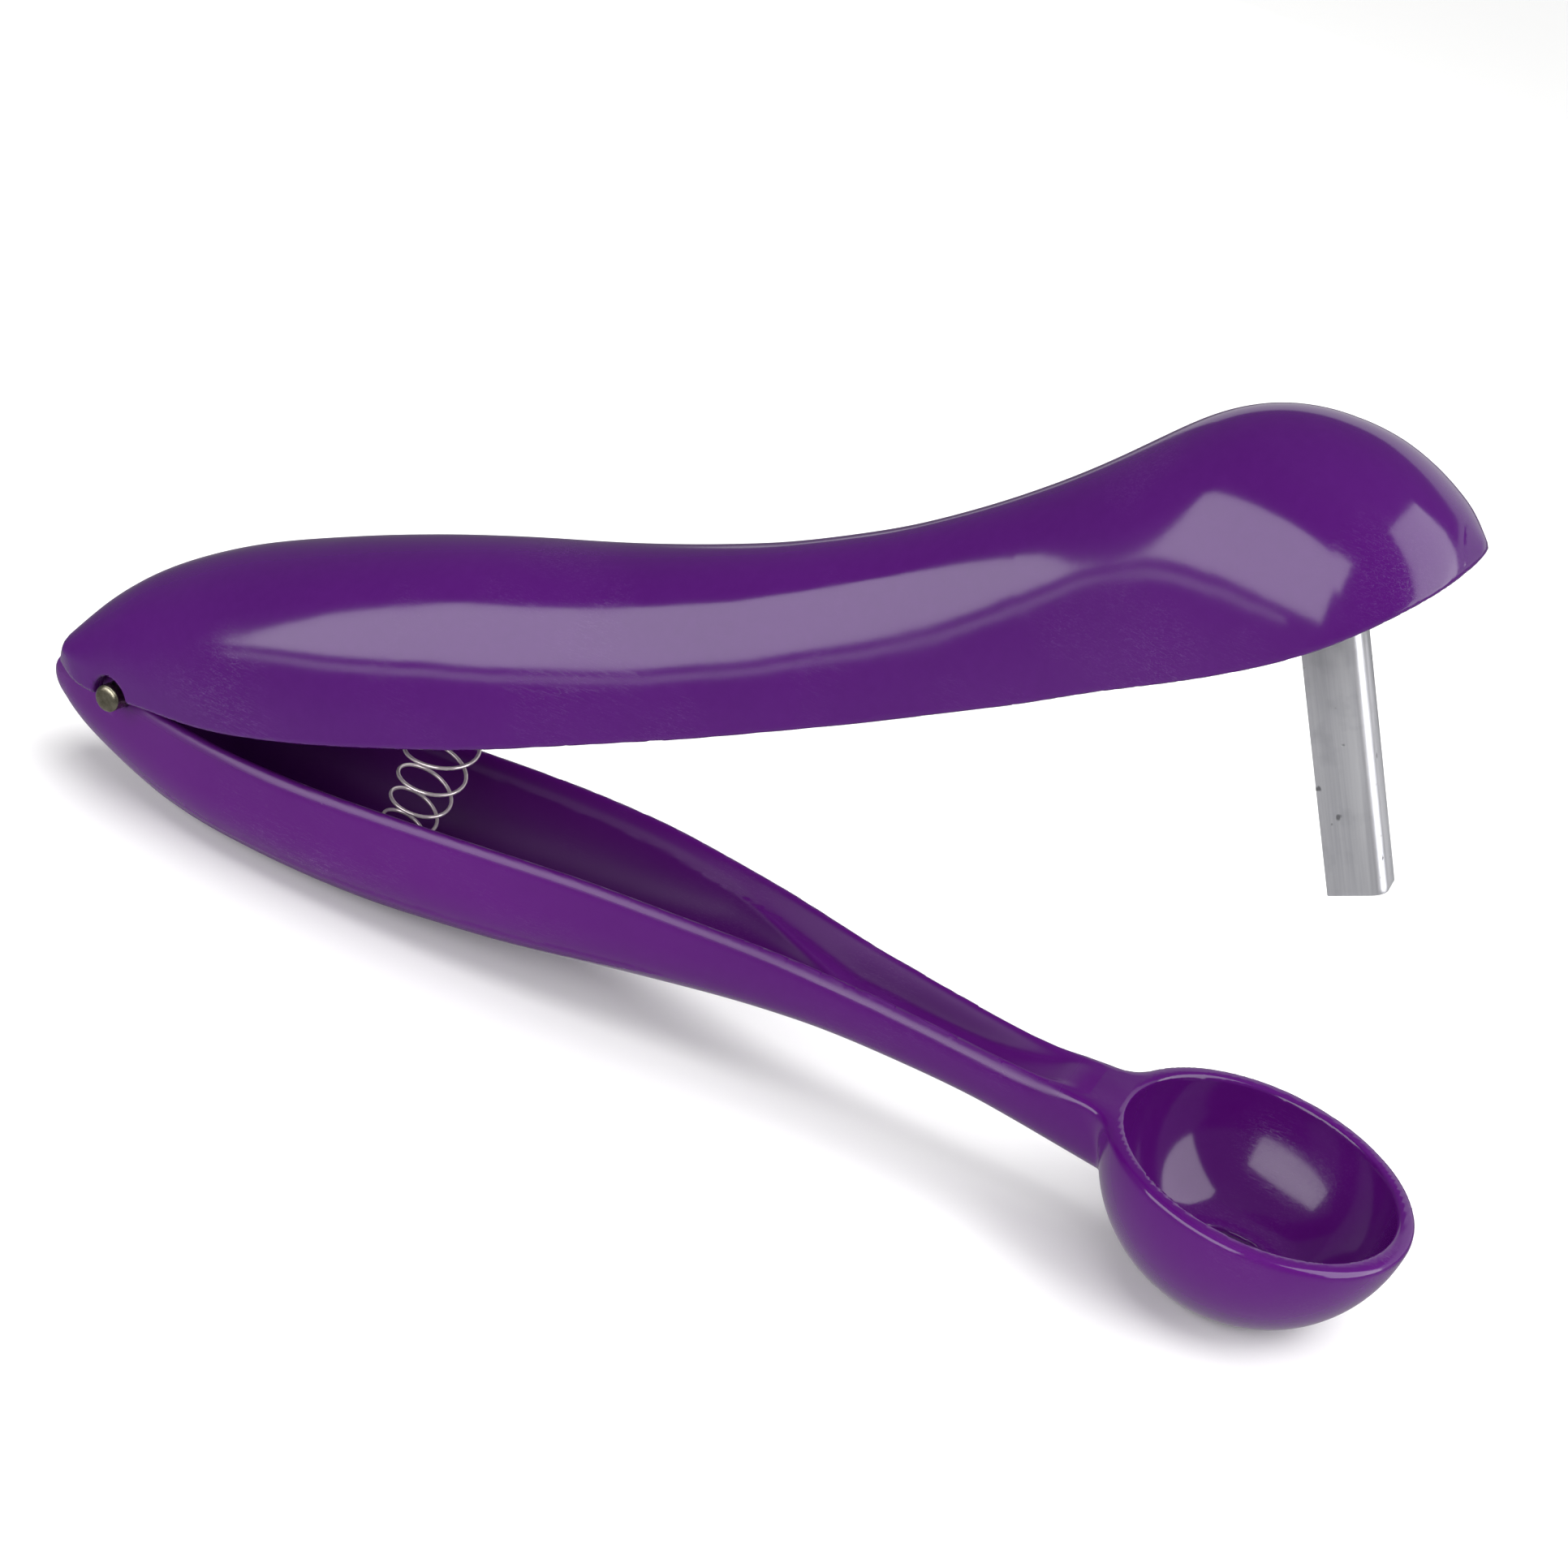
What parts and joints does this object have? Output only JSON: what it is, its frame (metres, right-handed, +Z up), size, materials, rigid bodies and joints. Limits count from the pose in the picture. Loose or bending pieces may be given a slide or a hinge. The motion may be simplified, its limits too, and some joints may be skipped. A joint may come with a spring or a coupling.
{
  "type": "cherry pitter",
  "caption": "Hand-held scissor-type fruit stoner: nested plastic arms on a pin, a holed cup on the lower arm, a hooded folded-sheet plunger on the upper arm and a coil return spring.",
  "frame": {"origin": "centre of the pit hole on the flat under the cup, which is level with the lower arm's belly", "axes": "+X from the hinge towards the cup's tip, +Y across the tool along the hinge pin, +Z up out of the cup"},
  "size_m": [0.1667, 0.0326, 0.0882],
  "materials": {
    "arm_plastic": "glossy moulded purple plastic with fine handling scuffs",
    "pin_steel": "plain turned steel with chamfered ends",
    "plunger_steel": "folded stainless sheet, grain along its length",
    "spring_wire": "bright drawn spring wire"
  },
  "bodies": {
    "lower_body": {"lower_arm": "arm_plastic", "hinge_pin": "pin_steel", "return_spring": "spring_wire"},
    "upper_body": {"upper_arm": "arm_plastic", "pitting_plunger": "plunger_steel"}
  },
  "joints": [
    {"name": "arm_hinge", "type": "hinge", "parent": "lower_body", "child": "upper_body", "pos_m": [-0.1367, 0, 0.0136], "axis": [0, 1, 0], "range_deg": [-13, 20.5], "stiffness_Nm_per_rad": 1.2, "deforming": ["return_spring"]}
  ]
}
